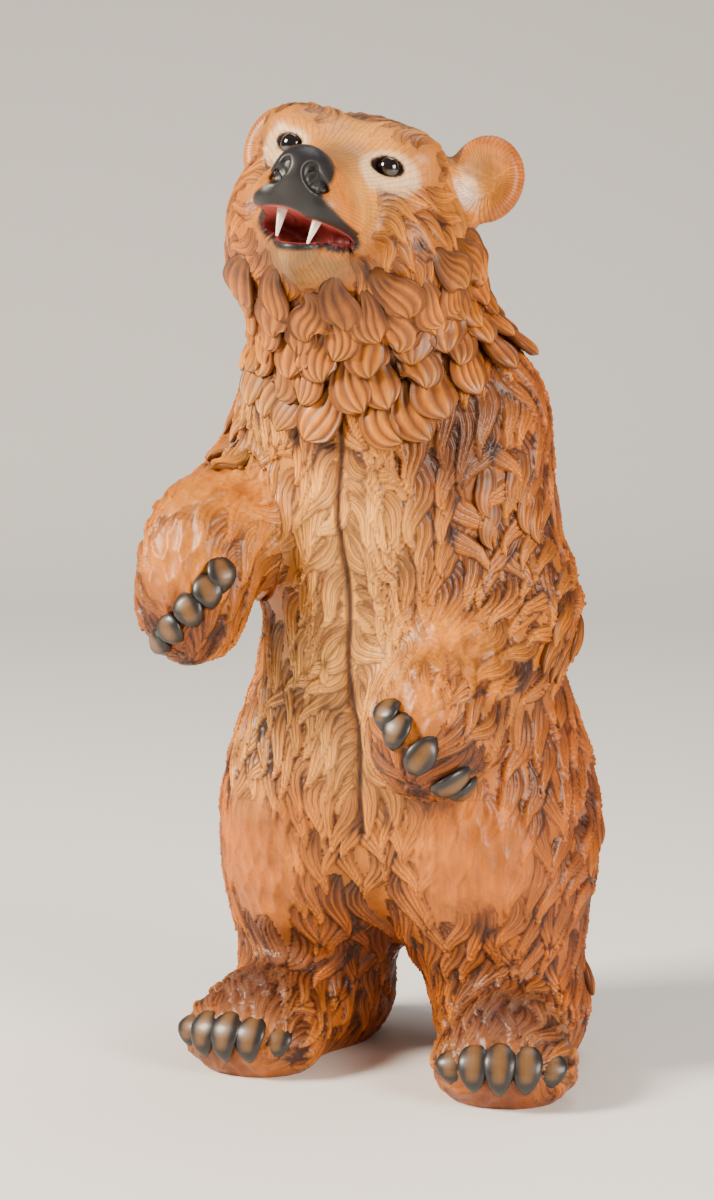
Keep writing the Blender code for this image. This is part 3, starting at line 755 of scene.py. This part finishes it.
def painted(colours, places):
    """The paints of the face over the stain, with a painted highlight at the root of each ear and painted
    shade at the back of the mouth. Returns the colours and where paint lies.
    """
    local = on_face(places)
    x, y, z = local.T
    head = lengths(local) < 0.20
    skull = clamp((0.15 - lengths(local)) / 0.05) * (z > -0.07)
    brow = soft_spot(local, (0, -0.085, 0.060), (0.085, 0.060, 0.045), 0.7)
    crown = clamp((y + 0.055) / 0.04) * clamp((z - 0.060) / 0.02) * head
    bridge = soft_spot(local, (0.024, -0.130, 0.030), (0.026, 0.045, 0.022), 0.9)
    cheek = soft_spot(np.abs(local) * (1, -1, 1), (0.055, -0.120, 0.0), (0.032, 0.040, 0.030), 0.9)
    chin = clamp((-0.055 - z) / 0.012) * clamp((-0.085 - y) / 0.02) * head
    colours = laid_on(
        colours, (HONEY, 0.9 * skull), (PALE_TAN, 0.35 * brow),
        (GREY_BROWN, 0.75 * crown * (np.abs(x) < 0.09)), (OLIVE_BROWN, 0.5 * bridge * head),
        (PALE_TAN, 0.5 * cheek * head), (OLIVE_BROWN, 0.8 * chin))
    for side in (1, -1):
        # The eye patch is brushed on from the nose side out towards the temple
        seen = local * point(side, 1, 1)
        patch = soft_spot(seen, (0.054, -0.095, 0.031), (0.030, 0.040, 0.023), 0.22)
        ear = EAR[side] + EAR_HOLLOW * point(side, 1, 1) + point(0, -0.006, 0)
        inner = soft_spot(local, ear, (0.029, 0.030, 0.033), 0.5)
        # Painted highlight: a chalk-white streak at the root of each ear
        root = soft_spot(local, ear + point(-0.014 * side, 0.004, -0.018), (0.016, 0.02, 0.016), 0.8)
        lash = soft_spot(seen, (0.0520, -0.100, 0.0388), (0.0163, 0.034, 0.0100), 0.10)
        colours = laid_on(
            colours, (CREAM, 0.9 * patch), (PALE_TAN, 0.7 * inner), (CHALK_HIGHLIGHT, 0.6 * root), (SEPIA, lash))
    nose = soft_spot(local, (0, -0.196, 0.004), (0.0325, 0.040, 0.033), 0.12)
    # The black runs out along the upper lip towards the corner of the mouth
    upper = clamp((-0.156 + 1.2 * np.clip(np.abs(x) - 0.020, 0, 0.03) - y) / 0.005)
    upper *= clamp((0.014 + 0.6 * (-0.165 - y) - z) / 0.006)
    edge = 0.030 + 1.3 * np.clip(-0.016 - z, 0, 0.03)
    upper *= head * (z > -0.057) * clamp((edge - np.abs(x)) / 0.004)
    rim, mouth = (
        np.max([soft_spot(local, centre, radii + point(*wider), 0.10) for centre, radii in MOUTH], axis=0)
        for wider in ((0.0090, 0.010, 0.0092), (0.0016, 0.006, 0.0012)))
    black = np.maximum(np.maximum(nose, upper), rim)
    # Painted shade: the red of the mouth darkens towards its back
    deep = clamp((y + 0.135) / 0.05) * mouth
    colours = laid_on(colours, (CHARCOAL, black), (MOUTH_RED, mouth), (MOUTH_SHADE, 0.7 * deep))
    return colours, np.maximum(black, mouth)


def new_layer(mesh, name, values):
    layer = mesh.attributes.new(name, "FLOAT", "POINT")
    layer.data.foreach_set("value", np.asarray(values, np.float32))


def finish_layers(mesh, places, layers):
    """Stores stain, paint, painted shade and highlight, and hair lines on a skin, by its places before
    carving.
    """
    colours, paint = painted(stained(places), places)
    recess_stain_and_shade, tone = layers["recess_stain_and_shade"] * (1 - paint), layers["tone"]
    colours = colours * (1 + 0.13 * tone * (1 - paint))[:, None]
    # Painted highlight, with the wear, along the crowns of the locks
    colours = colours * (1 + 0.50 * layers["ridge_wear_and_highlight"] * (1 - paint))[:, None]
    # Painted shade, with the stain and wax that pool there, in the hollows of the carving
    stain = (RED_BROWN, 0.80 * clamp(1.6 * recess_stain_and_shade))
    wax_and_shade = (DARK_WAX_AND_SHADE, 0.95 * clamp(1.35 * recess_stain_and_shade) ** 2.0)
    store(mesh, laid_on(colours, stain, wax_and_shade), paint)
    new_layer(mesh, "strand", layers["strand"])
    new_layer(mesh, "fine", layers["fine"] * (1 - paint))


def store(mesh, colours, paint):
    # The stain layer holds the whole colour, with any painted shade and highlight
    layer = mesh.attributes.new("stain", "FLOAT_COLOR", "POINT")
    full = np.ones((len(mesh.vertices), 4))
    full[:, :3] = colours
    layer.data.foreach_set("color", full.astype(np.float32).ravel())
    new_layer(mesh, "paint", paint)


# Materials

def plug(tree, node, links):
    """Gives a node its socket values and its links."""
    for socket, value in links:
        if isinstance(value, bpy.types.NodeSocket):
            tree.links.new(value, node.inputs[socket])
        else:
            node.inputs[socket].default_value = value


def add(tree, kind, links=(), **settings):
    """One shader node with its properties, its socket values and its links."""
    node = tree.nodes.new("ShaderNode" + kind)
    for name, value in settings.items():
        setattr(node, name, value)
    plug(tree, node, links)
    return node


def new_material(name):
    material = bpy.data.materials.new(name)
    material.use_nodes = True
    tree = material.node_tree
    return material, tree, tree.nodes["Principled BSDF"]


def limewood():
    """Stained limewood under satin lacquer: a close, pale grain that takes stain in soft streaks."""
    material, tree, shader = new_material("stained limewood, satin lacquer")
    where = add(tree, "TexCoord").outputs["Object"]
    # The stain layer also carries painted shade in the hollows and painted highlight on the ridges
    stain = add(tree, "Attribute", attribute_name="stain").outputs["Color"]
    paint, strand, fine = (
        add(tree, "Attribute", attribute_name=name).outputs["Fac"] for name in ("paint", "strand", "fine")
    )
    # Grain runs up the block, in lines about 1 mm apart and 30 mm long
    stretched = add(tree, "Mapping", [("Vector", where), ("Scale", (1000, 1000, 35))]).outputs["Vector"]
    grain = add(tree, "TexNoise", [
        ("Vector", stretched), ("Scale", 1.0), ("Detail", 4.0), ("Roughness", 0.6)]).outputs["Fac"]
    # The stain was brushed on and lies unevenly over about 12 mm
    blotch = add(tree, "TexNoise", [("Vector", where), ("Scale", 85.0), ("Detail", 3.0)]).outputs["Fac"]
    grain_tone, blotch_tone, rough = (
        add(tree, "MapRange", [
            ("Value", noise), ("From Min", 0.3), ("From Max", 0.7), ("To Min", low), ("To Max", high)]
            ).outputs["Result"]
        for noise, low, high in ((grain, 0.82, 1.12), (blotch, 0.70, 1.22), (blotch, 0.46, 0.60)))
    tone = add(tree, "Math", [(0, grain_tone), (1, blotch_tone)], operation="MULTIPLY")
    toned = add(tree, "Mix", [
        ("Factor", 1.0), (6, stain), (7, tone.outputs["Value"])], data_type="RGBA", blend_type="MULTIPLY")
    colour = add(tree, "Mix", [("Factor", paint), (6, toned.outputs[2]), (7, stain)], data_type="RGBA")
    # Fine lines of the veiner along each lock hold the dark wax
    drift = add(tree, "Math", [(0, blotch), (1, 1.6), (2, strand)], operation="MULTIPLY_ADD")
    wave = add(tree, "Math", [(0, drift.outputs["Value"]), (1, 0.5)], operation="PINGPONG")
    line = add(tree, "MapRange", [
        ("Value", wave.outputs["Value"]), ("From Min", 0.16), ("From Max", 0.0),
        ("To Min", 0.0), ("To Max", 1.0)])
    cut = add(tree, "Math", [(0, line.outputs["Result"]), (1, fine)], operation="MULTIPLY").outputs["Value"]
    waxed = add(tree, "Math", [(0, cut), (1, 0.50)], operation="MULTIPLY")
    lined = add(tree, "Mix", [
        ("Factor", waxed.outputs["Value"]), (6, colour.outputs[2]), (7, linear(UMBER))], data_type="RGBA")
    # The grain and the veiner's lines lie a little deeper than the wood round them
    bump = add(tree, "Bump", [("Height", grain), ("Strength", 0.25), ("Distance", 0.0002)])
    veins = add(tree, "Bump", [
        ("Height", cut), ("Strength", 0.6), ("Distance", 0.00035),
        ("Normal", bump.outputs["Normal"])], invert=True)
    plug(tree, shader, [
        ("Base Color", lined.outputs[2]), ("Roughness", rough), ("IOR", 1.48),
        ("Specular IOR Level", 0.25), ("Coat Weight", 0.36), ("Coat Roughness", 0.34),
        ("Normal", veins.outputs["Normal"])])
    return material


def enamel(name, code, roughness, coat, mottle, spread):
    """A painted finish: one colour, a second that shows through in soft mottles, and a gloss."""
    material, tree, shader = new_material(name)
    where = add(tree, "TexCoord").outputs["Object"]
    noise = add(tree, "TexNoise", [("Vector", where), ("Scale", 300.0), ("Detail", 3.0)])
    mixed = add(tree, "MapRange", [
        ("Value", noise.outputs["Fac"]), ("From Min", 0.35), ("From Max", 0.75), ("To Max", spread)])
    colour = add(tree, "Mix", [
        ("Factor", mixed.outputs["Result"]), (6, linear(code)), (7, linear(mottle))], data_type="RGBA")
    plug(tree, shader, [
        ("Base Color", colour.outputs[2]), ("Roughness", roughness), ("IOR", 1.5),
        ("Coat Weight", coat), ("Coat Roughness", 0.08)])
    return material


def horn():
    """Painted horn: black with gold-brown, under a glossy lacquer, from the claws' own colours."""
    material, tree, shader = new_material("horn paint, gloss lacquer")
    stain = add(tree, "Attribute", attribute_name="stain").outputs["Color"]
    where = add(tree, "TexCoord").outputs["Object"]
    noise = add(tree, "TexNoise", [("Vector", where), ("Scale", 500.0), ("Detail", 3.0)])
    tone = add(tree, "MapRange", [("Value", noise.outputs["Fac"]), ("To Min", 0.7), ("To Max", 1.2)])
    colour = add(tree, "Mix", [
        ("Factor", 1.0), (6, stain), (7, tone.outputs["Result"])], data_type="RGBA", blend_type="MULTIPLY")
    plug(tree, shader, [
        ("Base Color", colour.outputs[2]), ("Roughness", 0.45), ("IOR", 1.5),
        ("Coat Weight", 0.22), ("Coat Roughness", 0.18)])
    return material


# Pieces

def piece(name, mesh, material):
    """A finished piece in metres, riding on the bear's body."""
    places = (places_of(mesh) - CENTRE) * SCALE
    places[:, 2] = np.maximum(places[:, 2], 0)
    move_to(mesh, places)
    mesh.name = name
    mesh.materials.clear()
    mesh.materials.append(material)
    mesh.shade_smooth()
    thing = thing_from(name, mesh)
    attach(thing, "root")
    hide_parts("bear")
    return thing


def slabs(mesh, names, material):
    """A skin cut into level slabs of like size, each closed, with the shading of the whole."""
    layer = mesh.attributes.new("whole_normal", "FLOAT_VECTOR", "POINT")
    layer.data.foreach_set("vector", normals_of(mesh).astype(np.float32).ravel())
    heights = np.sort(places_of(mesh)[:, 2])
    levels = [heights[int(len(heights) * k / len(names))] for k in range(1, len(names))]
    rest = mesh
    for name, level in zip(names, levels + [None]):
        slab = rest
        if level is not None:
            slab = cut_at(rest, (0, 0, level), (0, 0, -1))
            rest = cut_at(rest, (0, 0, level), (0, 0, 1))
        kept = unit_rows(vectors(slab.attributes["whole_normal"].data, "vector"))
        slab.attributes.remove(slab.attributes["whole_normal"])
        piece(name, slab, material).data.normals_split_custom_set_from_vertices(kept)


def smooth_path(path, count):
    """A path through the same stops with more of them, rounded between."""
    parts = np.linspace(0, len(path) - 1, count)
    low = np.clip(np.floor(parts).astype(int), 0, len(path) - 2)
    t = (parts - low)[:, None]
    padded = np.concatenate([[2 * path[0] - path[1]], path, [2 * path[-1] - path[-2]]])
    a, b, c, d = (padded[low + k] for k in range(4))
    return 0.5 * (2 * b + (c - a) * t + (2 * a - 5 * b + 4 * c - d) * t**2 + (3 * b - a - 3 * c + d) * t**3)


class LeafMould:
    """A ball with its poles at root and tip, bent and flattened into carved leaves."""

    def __init__(self, around, rings):
        shaper = bmesh.new()
        bmesh.ops.create_uvsphere(shaper, u_segments=around, v_segments=rings, radius=1)
        self.mesh = mesh_from(shaper, "mould")
        unit = places_of(self.mesh)
        self.rings = rings
        self.ring = np.round((1 - np.arccos(np.clip(unit[:, 2], -1, 1)) / math.pi) * rings).astype(int)
        self.angle = np.arctan2(unit[:, 1], unit[:, 0])
        self.pole = (self.ring == 0) | (self.ring == rings)

    def pressed(self, path, normals, half_width, half_depth, lift, fullness, strands, cut,
                bend=0.0, crown=0.5):
        """One leaf: its mesh, and each vertex's depth in a groove, way along, and nearness to the edge and
        the underside, which take painted shade.
        """
        count = self.rings + 1
        stops = np.linspace(0, 1, count)
        at = np.linspace(0, 1, len(lift))
        line = smooth_path(np.asarray(path), count)
        up = unit_rows(smooth_path(np.asarray(normals), count), 1e-9)
        across = unit_rows(np.cross(np.gradient(line, axis=0), up), 1e-9)
        line = line + up * np.interp(stops, at, lift)[:, None]
        line = line + across * (bend * np.sin(math.pi * stops))[:, None]
        full = np.interp(stops, np.linspace(0, 1, len(fullness)), fullness)
        angle, ring = self.angle, self.ring
        aside = np.cos(angle)
        thick = half_depth * np.minimum(1, 0.35 + full[ring]) * np.where(self.pole, 0, 1)
        top = np.sin(angle) > 0.05
        phase = (aside + 1) / 2 * strands
        valley = (1 - np.square(2 * (phase - np.floor(phase)) - 1)) * top * (np.abs(aside) < 0.93)
        fade = clamp(stops[ring] / 0.3)
        height = np.sign(np.sin(angle)) * np.abs(np.sin(angle)) ** crown * thick - cut * valley * thick * fade
        wide = aside * half_width * full[ring] * np.where(self.pole, 0, 1)
        made = self.mesh.copy()
        move_to(made, line[ring] + across[ring] * wide[:, None] + up[ring] * height[:, None])
        # The edges and the underside, where painted shade goes
        under = clamp((np.abs(aside) - 0.86) / 0.08) * (np.sin(angle) > -0.9)
        return made, valley * fade, stops[ring], np.maximum(under, np.sin(angle) < -0.05)


def gathered(parts):
    """Many small meshes with their layers as one mesh."""
    shaper = bmesh.new()
    colours, paints = [], []
    for mesh, colour, paint in parts:
        shaper.from_mesh(mesh)
        colours.append(colour)
        paints.append(paint)
        bpy.data.meshes.remove(mesh)
    bmesh.ops.recalc_face_normals(shaper, faces=shaper.faces)
    out = mesh_from(shaper, "gathered")
    store(out, np.concatenate(colours), np.concatenate(paints))
    return out


def leaf_finish(mesh, valley, run, edge, tone):
    """Stain of a leaf: paler along its ridges and tip, with painted shade at its root, in its grooves, along
    its edges and underneath.
    """
    places = places_of(mesh)
    colours = stained(places) * (1 + 0.22 * tone)
    worn = clamp((run - 0.70) / 0.25) * (1 - valley) * (1 - edge)
    # Painted shade in the grooves, at the root, along the edges and underneath; the worn tip paler
    colours = laid_on(
        colours, (RED_BROWN, 0.80 * valley**2),
        (DARK_WAX_AND_SHADE, 0.40 * valley**3 + 0.95 * clamp(1 - run / 0.60)),
        (DARK_WAX_AND_SHADE, 0.75 * edge), (PALE_TAN, 0.40 * worn))
    return mesh, colours, np.zeros(len(places))


# How wide leaves, tufts and claws are along their length, from root to tip
LEAF_FULLNESS = (0, 0.42, 0.58, 0.74, 0.90, 1.0, 0.98, 0.66, 0)
TUFT_FULLNESS = (0, 0.8, 1, 0.85, 0.5, 0)
CLAW_FULLNESS = (0, 0.62, 0.9, 1, 0.93, 0.75, 0.45, 0)

RUFF_ROWS = 6
LEAVES_IN_ROW = 19


def in_mouth(path):
    """Whether a path was drawn into the mouth."""
    local = on_face(path)
    return bool(np.any([soft_spot(local, centre, radii + 0.008, 0.1).max() > 0.5 for centre, radii in MOUTH]))


def on_ear(path):
    """Whether a path was drawn onto an ear."""
    local = on_face(path)
    return any(lengths(local - EAR[side]).min() < 0.050 for side in (1, -1))


def ruff(material):
    """Rows of leaves laid round the neck like shingles, tips standing off."""
    chance = np.random.default_rng(11)
    look = np.random.default_rng(12)
    mould = LeafMould(32, 18)
    rows, count = RUFF_ROWS, LEAVES_IN_ROW
    parts = []
    for row in range(rows):
        angles = 2 * math.pi * (np.arange(count) + 0.5 * (row % 2)) / count
        angles += chance.normal(0, 0.03, count)
        rise = np.minimum(1, 1 - np.cos(angles))
        level = 0.716 + 0.082 * rise + (0.122 - 0.036 * rise) * row / (rows - 1)
        level += chance.normal(0, 0.003, count)
        roots = np.stack([-0.020 + 0.14 * np.sin(angles), -0.060 - 0.14 * np.cos(angles), level], 1)
        paths, normals = combed_paths(settled(roots, 5), share(RUFF_LOCK_LENGTH) * 1.05,
                                      0.25 * (-1) ** row + look.uniform(-0.25, 0.25, count), 5)
        for path, normal in zip(paths, normals):
            size = chance.uniform(0.85, 1.15)
            stand = 0.010 + 0.004 * chance.random()
            if in_mouth(path) or on_ear(path):
                continue
            lift = (-0.004, 0.000, 0.003, 0.6 * stand, 0.85 * stand, stand)
            leaf = mould.pressed(
                path, normal, share(RUFF_LOCK_WIDTH) / 2 * size * 1.10, share(RUFF_LOCK_THICKNESS) / 2, lift,
                LEAF_FULLNESS, look.integers(3, 6), 0.62, look.uniform(-0.008, 0.008), 0.55)
            parts.append(leaf_finish(*leaf, look.uniform(-1, 1)))
    piece("ruff_leaves", gathered(parts), material)


TUFT_LENGTH = 0.062
TUFT_HALF_WIDTH = 0.012
TUFT_HALF_DEPTH = 0.006
# Where the tufts grow: centre, spread and count
TUFTS = (
    ((0.175, 0.000, 0.480), 0.020, 8),
    ((-0.225, 0.020, 0.530), 0.018, 5),
    ((0.185, 0.030, 0.270), 0.020, 4),
    ((-0.185, 0.030, 0.270), 0.020, 4),
    ((0.165, 0.050, 0.130), 0.015, 3),
    ((-0.165, 0.050, 0.130), 0.015, 3),
    ((0.130, -0.060, 0.640), 0.030, 6),
    ((-0.140, -0.060, 0.650), 0.025, 5),
)


def tufts(material):
    """Longer locks that stand clear of the outline at shoulders, elbows, hips and heels."""
    chance = np.random.default_rng(5)
    look = np.random.default_rng(6)
    mould = LeafMould(24, 24)
    parts = []
    for centre, spread, count in TUFTS:
        roots = point(*centre) + chance.normal(0, 1, (count, 3)) * spread
        paths, normals = combed_paths(settled(roots, 6), TUFT_LENGTH, 0.5, 5)
        for path, normal in zip(paths, normals):
            stand = chance.uniform(0.001, 0.006)
            lift = (-0.006, -0.003, -0.001, 0.4 * stand, 0.8 * stand, stand)
            leaf = mould.pressed(path, normal, TUFT_HALF_WIDTH, TUFT_HALF_DEPTH, lift, TUFT_FULLNESS,
                                 look.integers(3, 5), 0.6)
            parts.append(leaf_finish(*leaf, look.uniform(-1, 1)))
    piece("side_tufts", gathered(parts), material)


# The roots of the first and last claw of each hand, then their tips
HAND_CLAWS = (
    (((0.069, -0.205, 0.425), (0.148, -0.160, 0.338)), ((0.062, -0.216, 0.385), (0.120, -0.190, 0.318))),
    (((-0.113, -0.218, 0.553), (-0.182, -0.225, 0.475)), ((-0.104, -0.220, 0.512), (-0.160, -0.225, 0.452))),
)


CLAW_SPACING = 0.0275
FOOT_CLAW_LIFT = (-0.006, 0.000, 0.003, 0.004, 0.003, 0.000)
HAND_CLAW_LIFT = (-0.006, 0.002, 0.006, 0.008, 0.006, 0.001)


def claws(material):
    """Five claws on each foot, curved over the toes, and five on each hand."""
    mould = LeafMould(20, 16)
    parts = []

    def claw(path, normals, half_width, half_depth, lift):
        """A smooth claw of black horn with a gold-brown middle along its back."""
        made, _, run, _ = mould.pressed(
            path, normals, half_width, half_depth, lift, CLAW_FULLNESS, 1, 0.0, 0.0, 1.0)
        middle = clamp(np.sin(mould.angle)) ** 2 * clamp(run / 0.2)
        middle *= clamp((0.92 - run) / 0.25)
        gold = (CLAW_GOLD, 0.8 * clamp(middle * 2.6 - 1.7))
        parts.append((made, laid_on(plain(CLAW_BLACK, len(run)), gold), np.ones(len(run))))

    for side in (1, -1):
        axes = turned(yaw=toe_yaw(side))
        for finger in range(-2, 3):
            across = finger * CLAW_SPACING
            reach = math.sqrt(1 - (across / TOE_RADII[0]) ** 2)
            path, normals = [], []
            for angle in np.radians(np.linspace(62, -24, 6)):
                ahead, up = TOE_RADII[1] * reach * math.cos(angle), TOE_RADII[2] * reach * math.sin(angle)
                flat = point(across * (1 - 0.05 * abs(finger)), -ahead, up)
                path.append(TOES[side] + axes @ flat)
                normals.append(axes @ point(across * 4, -math.cos(angle), math.sin(angle)))
            normals = unit_rows(np.array(normals))
            claw(path, normals, share(FOOT_CLAW_WIDTH) / 2 * 1.1, 0.0046, FOOT_CLAW_LIFT)
    for roots, tips in np.array(HAND_CLAWS):
        for part in np.linspace(0, 1, 5):
            root = roots[0] + part * (roots[1] - roots[0])
            tip = tips[0] + part * (tips[1] - tips[0])
            path = settled(root + np.linspace(0, 1, 6)[:, None] * (tip - root), 5)
            claw(path, normals_at(path), share(HAND_CLAW_WIDTH) / 2 * 1.15, 0.0050, HAND_CLAW_LIFT)
    piece("claws", gathered(parts), material)


def fangs(material):
    """Two upper fangs at the front of the mouth."""
    shaper = bmesh.new()
    for side in (1, -1):
        root = on_head(side * 0.019, -0.160, -0.030)
        tip = on_head(side * 0.016, -0.163, -0.038 - share(FANG_LENGTH))
        fall = Vector(tip - root)
        turn = fall.to_track_quat("Z", "Y").to_matrix().to_4x4()
        place = Matrix.Translation(Vector(root) + fall * 0.5) @ turn
        bmesh.ops.create_cone(shaper, cap_ends=True, segments=24, radius1=0.0058, radius2=0.0012,
                              depth=fall.length, matrix=place)
    sharp = [edge for edge in shaper.edges if len(edge.link_faces) == 2 and edge.calc_face_angle(0) > 0.6]
    bmesh.ops.bevel(shaper, geom=sharp, offset=0.001, segments=3, affect="EDGES", profile=0.5, material=-1)
    piece("fangs", mesh_from(shaper, "fangs"), material)


def eyes(material):
    """Eyeballs set in their sockets."""
    shaper = bmesh.new()
    for side in (1, -1):
        place = Matrix.Translation(Vector(on_head(side * EYE[0], EYE[1], EYE[2])))
        bmesh.ops.create_uvsphere(shaper, u_segments=40, v_segments=24, radius=EYE_RADIUS, matrix=place)
    piece("eyeballs", mesh_from(shaper, "eyes"), material)


def main():
    wood = limewood()
    neck_level, neck_facing = (-0.024, -0.060, 0.800), (0.0, -0.5, 0.866)
    clay = clay_mesh()

    head = skin(clay, HEAD_STEP, neck_level, neck_facing)
    layers, before = carve(head, 21)
    finish_layers(head, before, layers)
    piece("head", head, wood)

    body = skin(clay, BODY_STEP, neck_level, (0.0, 0.5, -0.866))
    layers, before = carve(body, 22)
    finish_layers(body, before, layers)
    body = cut_at(body, (0, 0, 0.003), (0, 0, 1))
    slabs(body, ("feet", "legs", "hips", "waist_and_paws", "chest_and_shoulders"), wood)

    ruff(wood)
    tufts(wood)
    claws(horn())
    # Ivory-white enamel: smooth, wet-looking teeth
    fangs(enamel("ivory enamel paint", "#F1EBDD", 0.22, 0.6, "#D9CBAE", 0.5))
    # Black glass-gloss enamel with a brown depth to it, for the eyes
    eyes(enamel("black eye enamel", "#0E0B0A", 0.06, 1.0, "#2A160C", 0.4))
    light_and_camera()


# The photograph's view, in shares of the height
VIEW_ANGLE = 24.0
VIEW_DISTANCE = 4.0
VIEW_HEIGHT = 1.15
AIM = point(-0.05, -0.02, 0.480)
LENS = 118.0


def light_and_camera():
    scene = bpy.context.scene
    angle = math.radians(VIEW_ANGLE)
    stand = AIM + VIEW_DISTANCE * point(math.sin(angle), -math.cos(angle), 0)
    stand[2] = VIEW_HEIGHT
    aim, stand = Vector((AIM - CENTRE) * SCALE), Vector((stand - CENTRE) * SCALE)
    lens = bpy.data.cameras.new("camera")
    lens.lens = LENS
    lens.sensor_width = 36
    lens.sensor_fit = "AUTO"
    camera = thing_from("camera", lens)
    camera.location = stand
    camera.rotation_euler = (aim - stand).to_track_quat("-Z", "Y").to_euler()
    scene.camera = camera

    shaper = bmesh.new()
    bmesh.ops.create_grid(shaper, x_segments=80, y_segments=80, size=4.0)
    for vert in shaper.verts:
        back = vert.co.x * -math.sin(angle) + vert.co.y * math.cos(angle)
        vert.co.z = 0.9 * max(0.0, back - 0.9) ** 1.6
    mesh = mesh_from(shaper, "floor")
    material, tree, shader = new_material("pale matt floor")
    plug(tree, shader, [("Base Color", linear("#E9E7E3")), ("Roughness", 0.9)])
    mesh.materials.append(material)
    mesh.shade_smooth()
    floor = thing_from("floor", mesh)

    world = bpy.data.worlds.new("studio")
    world.use_nodes = True
    backdrop = world.node_tree.nodes["Background"]
    plug(world.node_tree, backdrop, [("Color", linear("#E4E4E4")), ("Strength", 0.24)])
    scene.world = world
    for name, place, power, size, code in (
        ("key", (-0.80, -0.70, 0.80), 42.0, 0.40, "#FFF1DE"),
        ("fill", (0.95, -0.35, 0.45), 17.0, 0.45, "#FFF0E0"),
        ("top", (0.10, 0.30, 1.10), 4.0, 0.60, "#FFFFFF"),
    ):
        lamp = bpy.data.lights.new(name, "AREA")
        lamp.energy = power
        lamp.size = size
        lamp.color = linear(code)[:3]
        thing = thing_from(name, lamp)
        thing.location = place
        thing.rotation_euler = (Vector((0, 0, 0.16)) - Vector(place)).to_track_quat("-Z", "Y").to_euler()


main()
